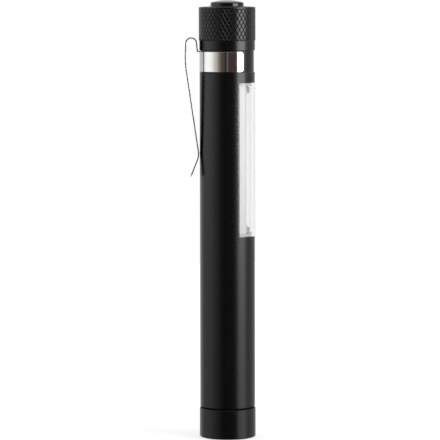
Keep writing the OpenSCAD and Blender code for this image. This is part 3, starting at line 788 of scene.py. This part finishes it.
def make_rail(name, side):
    """White rail that fills the corner between the tray and the wall of the window on one side."""
    bm = bmesh.new()
    floor_x = low("reflector_tray", X) + TRAY_GAP
    inner_y = SHOE_HALF_WIDTH + TRAY_GAP
    foot = math.acos(floor_x / SHOE_R)
    crest = math.asin(inner_y / SHOE_R)
    turns = [foot + (crest - foot) * i / RAIL_STEPS for i in range(RAIL_STEPS + 1)]
    outline = [polar(SHOE_R, side * turn, 0) for turn in turns]
    outline.append(Vector((floor_x, side * inner_y, 0)))
    prism(bm, outline, low("window_lens", Z) + TAB_TO, high("window_lens", Z) - TAB_TO)
    rail = to_object(bm, name, WHITE, LAMP_SHARP)
    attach(rail, "barrel")


def make_shade_shoe(name, z_end, toward):
    """Grey sheet over one end block of the tray and its slope, from z_end toward the middle, which paints
    the shade along the block's edges.
    """
    bm = bmesh.new()
    top = high("reflector_tray", X) + SHOE_RISE
    stations = [(BLOCK_START - SHOE_RISE, top), (BLOCK_START + BLOCK_FLAT, top)]
    stations.append((SHOE_END, top - BLOCK_DROP * (SHOE_END - BLOCK_START - BLOCK_FLAT) / BLOCK_SLOPE))
    rings = []
    for along, x_out in stations:
        side = []
        for i in range(SHOE_SIDE_STEPS + 1):
            x = x_out - SHOE_DEPTH * i / SHOE_SIDE_STEPS
            side.append((x, min(math.sqrt(SHOE_R ** 2 - x ** 2), SHOE_HALF_WIDTH)))
        outline = side + [(x, -y) for x, y in reversed(side)]
        rings.append([bm.verts.new((x, y, z_end + toward * along)) for x, y in outline])
    for one, other in zip(rings, rings[1:]):
        bridge(bm, one, other)
    bm.faces.new(rings[0])
    bm.faces.new(rings[-1])
    shoe = to_object(bm, name, SHOE_SHADE)
    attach(shoe, "barrel")


# Springs

CONTACT_WIRE = 0.6
CONTACT_TURNS = 5
HEAD_COIL_R = (3.4, 1.6)
TAIL_COIL_R = (2.4, 4.6)
PLUNGER_WIRE = 0.4
PLUNGER_TURNS = 3
PLUNGER_COIL_R = (2.9, 2.9)
STEPS_A_TURN = 36
WIRE_SIDES = 12


def make_coil(name, node, centre_x, r_low, r_high, wire, turns):
    """Round wire wound from r_low at the node's lower end to r_high at its upper end."""
    bm = bmesh.new()
    z_low = low(node, Z) + wire / 2
    z_high = high(node, Z) - wire / 2
    steps = turns * STEPS_A_TURN
    rings = []
    for i in range(steps + 1):
        f = i / steps
        angle = 2 * math.pi * turns * f
        centre = polar(r_low + (r_high - r_low) * f, angle, z_low + (z_high - z_low) * f)
        centre += Vector((centre_x, 0, 0))
        ring = []
        for k in range(WIRE_SIDES):
            b = 2 * math.pi * k / WIRE_SIDES
            ring.append(bm.verts.new(centre + polar(wire / 2 * math.cos(b), angle, wire / 2 * math.sin(b))))
        rings.append(ring)
    for one, other in zip(rings, rings[1:]):
        bridge(bm, one, other)
    bm.faces.new(rings[0])
    bm.faces.new(rings[-1])
    coil = to_object(bm, name, bpy.data.materials["contact_steel"])
    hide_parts(node)
    return coil


def make_springs():
    cell_x = (low("lower_cell", X) + high("lower_cell", X)) / 2
    head = make_coil(
        "head_contact_coil", "positive_spring", cell_x, *HEAD_COIL_R, CONTACT_WIRE, CONTACT_TURNS
    )
    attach(head, "barrel")
    tail = make_coil("tail_contact_coil", "tail_spring", 0, *TAIL_COIL_R, CONTACT_WIRE, CONTACT_TURNS)
    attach(tail, "tail_spring")
    plunger = make_coil("plunger_coil", "plunger_spring", 0, *PLUNGER_COIL_R, PLUNGER_WIRE, PLUNGER_TURNS)
    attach(plunger, "tail_cap")
    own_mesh(plunger)


# Camera

LOOK_AT = Vector((-2.45, 0, 72.24))
CAMERA_DISTANCE = 940.0
CAMERA_PITCH = math.radians(4.7)
CAMERA_ROLL = math.radians(-0.1)
FOCAL_PIXELS = 2834.0
IMAGE_PIXELS = 440.0
SENSOR = 36.0
NEAREST = 0.01
FARTHEST = 20


def make_camera():
    data = bpy.data.cameras.new("camera")
    data.sensor_width = SENSOR
    data.lens = SENSOR * FOCAL_PIXELS / IMAGE_PIXELS
    data.clip_start = NEAREST
    data.clip_end = FARTHEST
    camera = bpy.data.objects.new("camera", data)
    bpy.context.scene.collection.objects.link(camera)
    back = Vector((0, -math.cos(CAMERA_PITCH), math.sin(CAMERA_PITCH)))
    camera.location = (LOOK_AT + back * CAMERA_DISTANCE) * MM
    camera.rotation_mode = "QUATERNION"
    facing = (-back).to_track_quat("-Z", "Y")
    camera.rotation_quaternion = facing @ Matrix.Rotation(CAMERA_ROLL, 3, "Z").to_quaternion()
    bpy.context.scene.camera = camera


# World: colours round the object by degrees to the right of the camera, level with it and below it

ROUND_STOPS = [
    (-180, (0.6, 0.6, 0.6)), (-150, (0.9, 0.9, 0.89)), (-133, (0.72, 0.72, 0.71)),
    (-122, (0.2, 0.2, 0.2)), (-60, (0.06, 0.06, 0.058)), (-38, (0.24, 0.22, 0.2)),
    (-31, (0.22, 0.18, 0.14)), (-24, (0.1, 0.066, 0.045)), (-13, (0.07, 0.06, 0.055)),
    (-4, (0.01, 0.01, 0.008)), (0.8, (0.16, 0.15, 0.14)), (6, (0.05, 0.036, 0.03)),
    (17, (0.066, 0.033, 0.027)), (30, (0.05, 0.042, 0.04)), (37, (0.06, 0.056, 0.055)),
    (75, (0.35, 0.35, 0.35)), (83, (0.95, 0.95, 0.95)), (92, (0.42, 0.42, 0.42)),
    (100, (0.45, 0.45, 0.45)), (135, (0.55, 0.55, 0.55)), (180, (0.6, 0.6, 0.6)),
]
LOW_STOPS = [
    (-180, (0.6, 0.6, 0.6)), (-120, (0.5, 0.5, 0.49)), (-60, (0.45, 0.45, 0.44)),
    (-36, (0.15, 0.13, 0.11)), (-24, (0.06, 0.05, 0.045)), (30, (0.06, 0.05, 0.045)),
    (42, (0.15, 0.14, 0.13)), (60, (0.5, 0.5, 0.49)), (120, (0.5, 0.5, 0.5)), (180, (0.6, 0.6, 0.6)),
]
OVERHEAD = (0.7, 0.7, 0.7, 1)
WHITE_BACK = (1, 1, 1, 1)
# Heights on the unit sphere over which the level colours turn into the low ones and the overhead one
TO_LOW = (-0.12, -0.3)
TO_OVERHEAD = (0.35, 0.85)
# Degrees from the camera over which the white behind the object comes in for reflections
TO_BACKDROP = (152, 178)


def make_world():
    """White behind the object for the camera and through glass, and a pale studio with a dark front."""
    world = bpy.data.worlds.new("studio")
    bpy.context.scene.world = world
    world.use_nodes = True
    tree = world.node_tree
    tree.nodes.clear()
    output = tree.nodes.new("ShaderNodeOutputWorld")
    background = tree.nodes.new("ShaderNodeBackground")
    tree.links.new(background.outputs["Background"], output.inputs["Surface"])
    place = tree.nodes.new("ShaderNodeTexCoord")
    split = tree.nodes.new("ShaderNodeSeparateXYZ")
    tree.links.new(place.outputs["Generated"], split.inputs["Vector"])
    flip = tree.nodes.new("ShaderNodeMath")
    flip.operation = "MULTIPLY"
    flip.inputs[1].default_value = -1
    tree.links.new(split.outputs["Y"], flip.inputs[0])
    turn = tree.nodes.new("ShaderNodeMath")
    turn.operation = "ARCTAN2"
    tree.links.new(split.outputs["X"], turn.inputs[0])
    tree.links.new(flip.outputs["Value"], turn.inputs[1])
    share = between(tree, turn.outputs["Value"], -math.pi, math.pi, 0, 1)
    level = colours(tree, share, [((a + 180) / 360, c) for a, c in ROUND_STOPS])
    low_down = colours(tree, share, [((a + 180) / 360, c) for a, c in LOW_STOPS])
    sides = blend_colours(tree, between(tree, split.outputs["Z"], *TO_LOW, 0, 1), level, low_down)
    overhead = tree.nodes.new("ShaderNodeRGB")
    overhead.outputs["Color"].default_value = OVERHEAD
    upward = between(tree, split.outputs["Z"], *TO_OVERHEAD, 0, 1)
    studio = blend_colours(tree, upward, sides, overhead.outputs["Color"])
    path = tree.nodes.new("ShaderNodeLightPath")
    straight = combine(tree, "MAXIMUM", path.outputs["Is Camera Ray"], path.outputs["Is Transmission Ray"])
    aside = combine(tree, "ABSOLUTE", turn.outputs["Value"])
    backdrop = between(tree, aside, *map(math.radians, TO_BACKDROP), 0, 1)
    mirrored = combine(tree, "MULTIPLY", path.outputs["Is Glossy Ray"], backdrop)
    white = tree.nodes.new("ShaderNodeRGB")
    white.outputs["Color"].default_value = WHITE_BACK
    seen = blend_colours(tree, combine(tree, "MAXIMUM", straight, mirrored), studio, white.outputs["Color"])
    tree.links.new(seen, background.inputs["Color"])


# Lamps: a profile gives (degrees from the lamp's middle, share) stops, and heights give (z, share) stops.
# The key lamp is weak just above the object, so that the top of the cap doesn't mirror it as white.

LAMP_LOW = -0.1
LAMP_HIGH = 0.5
KEY_PROFILE = [(-18, 1.0), (0, 1.0), (18, 0.9)]
KEY_HEIGHTS = [
    (-0.1, 0.17), (-0.02, 0.17), (0.02, 0.25), (0.09, 0.7), (0.14, 0.8), (0.185, 1.0),
    (0.205, 0.12), (0.3, 0.1), (0.36, 0.5), (0.5, 0.5),
]
FILL_PROFILE = [
    (-45, 0.5), (-37, 0.53), (-29, 0.57), (-22, 0.67), (-16, 0.84), (-8, 0.97), (0, 1.0), (7, 0.98),
    (12, 0.93), (17, 0.87), (22, 0.75), (27, 0.6), (31, 0.46), (36, 0.33), (40, 0.23), (45, 0.14),
]
FILL_HEIGHTS = [(-0.1, 0.38), (-0.05, 0.47), (0.03, 0.56), (0.1, 1.0), (0.5, 1.0)]


def make_lamp(name, turn, distance, radiance, profile, heights):
    """A flat soft lamp that faces the tube, turn degrees to the right of the camera.
    It reaches to both sides as far as its profile does."""
    reach = profile[-1][0]
    data = bpy.data.lights.new(name, "AREA")
    data.shape = "RECTANGLE"
    data.size = 2 * distance * math.tan(math.radians(reach))
    data.size_y = LAMP_HIGH - LAMP_LOW
    data.energy = radiance * math.pi * data.size * data.size_y
    data.use_nodes = True
    tree = data.node_tree
    emission = tree.nodes["Emission"]
    where = tree.nodes.new("ShaderNodeNewGeometry")
    split = tree.nodes.new("ShaderNodeSeparateXYZ")
    tree.links.new(where.outputs["Parametric"], split.inputs["Vector"])
    stops = []
    for degrees, share in profile:
        place = 0.5 + 0.5 * math.tan(math.radians(degrees)) / math.tan(math.radians(reach))
        stops.append((place, (share, share, share)))
    tree.links.new(colours(tree, split.outputs["X"], stops), emission.inputs["Color"])
    levels = [((z - LAMP_LOW) / (LAMP_HIGH - LAMP_LOW), (share, share, share)) for z, share in heights]
    tree.links.new(colours(tree, split.outputs["Y"], levels), emission.inputs["Strength"])
    lamp = bpy.data.objects.new(name, data)
    bpy.context.scene.collection.objects.link(lamp)
    a = math.radians(turn)
    out = Vector((math.sin(a), -math.cos(a), 0))
    lamp.location = out * distance + Vector((0, 0, (LAMP_LOW + LAMP_HIGH) / 2))
    lamp.rotation_mode = "QUATERNION"
    lamp.rotation_quaternion = (-out).to_track_quat("-Z", "Y")
    lamp.visible_camera = False
    lamp.visible_transmission = False


# Floor

FLOOR_R = 0.6
FLOOR_SEGMENTS = 96
FLOOR_DROP = 0.0001
FLOOR_PAINT = (0.6, 0.6, 0.6, 1)
# The floor's own white for the camera, from near the object to farther away, so that the shadow stays
LIFT_FROM = 0.1
LIFT_TO = 0.5
LIFT_NEAR = 0.6
LIFT_FAR = 0.7


def make_floor():
    """White floor that keeps the object's shadow and lets the view from below through."""
    bm = bmesh.new()
    bmesh.ops.create_circle(bm, cap_ends=True, segments=FLOOR_SEGMENTS, radius=FLOOR_R)
    mesh = bpy.data.meshes.new("floor")
    bm.to_mesh(mesh)
    bm.free()
    floor = bpy.data.objects.new("floor", mesh)
    bpy.context.scene.collection.objects.link(floor)
    floor.location.z = -FLOOR_DROP
    floor.visible_glossy = False
    material = bpy.data.materials.new("floor")
    material.use_nodes = True
    tree = material.node_tree
    tree.nodes.clear()
    output = tree.nodes.new("ShaderNodeOutputMaterial")
    paint = tree.nodes.new("ShaderNodeBsdfDiffuse")
    paint.inputs["Color"].default_value = FLOOR_PAINT
    lift = tree.nodes.new("ShaderNodeEmission")
    path = tree.nodes.new("ShaderNodeLightPath")
    seen = combine(tree, "MAXIMUM", path.outputs["Is Camera Ray"], path.outputs["Is Transmission Ray"])
    place = tree.nodes.new("ShaderNodeTexCoord")
    away = tree.nodes.new("ShaderNodeVectorMath")
    away.operation = "LENGTH"
    tree.links.new(place.outputs["Object"], away.inputs[0])
    reach = between(tree, away.outputs["Value"], LIFT_FROM, LIFT_TO, LIFT_NEAR, LIFT_FAR)
    tree.links.new(combine(tree, "MULTIPLY", seen, reach), lift.inputs["Strength"])
    total = tree.nodes.new("ShaderNodeAddShader")
    tree.links.new(paint.outputs["BSDF"], total.inputs[0])
    tree.links.new(lift.outputs["Emission"], total.inputs[1])
    below = tree.nodes.new("ShaderNodeNewGeometry")
    clear = tree.nodes.new("ShaderNodeBsdfTransparent")
    either = tree.nodes.new("ShaderNodeMixShader")
    tree.links.new(below.outputs["Backfacing"], either.inputs["Fac"])
    tree.links.new(total.outputs["Shader"], either.inputs[1])
    tree.links.new(clear.outputs["BSDF"], either.inputs[2])
    tree.links.new(either.outputs["Shader"], output.inputs["Surface"])
    mesh.materials.append(material)


bpy.context.scene.view_settings.view_transform = "Standard"
make_camera()
make_world()
make_lamp("key", turn=60, distance=0.45, radiance=7.4, profile=KEY_PROFILE, heights=KEY_HEIGHTS)
make_lamp("fill", turn=-82, distance=0.42, radiance=1.0, profile=FILL_PROFILE, heights=FILL_HEIGHTS)
make_floor()
make_tail_cap()
make_button()
make_clip()
make_window()
for place, end, inward in (("lower", low("window_lens", Z), 1), ("upper", high("window_lens", Z), -1)):
    make_tab("tray_tab_" + place, end - inward * TRAY_GAP, inward)
    make_shade_shoe("painted_shade_shoe_" + place, end - inward * TRAY_GAP, inward)
make_rail("tray_rail_near", -1)
make_rail("tray_rail_far", 1)
make_springs()
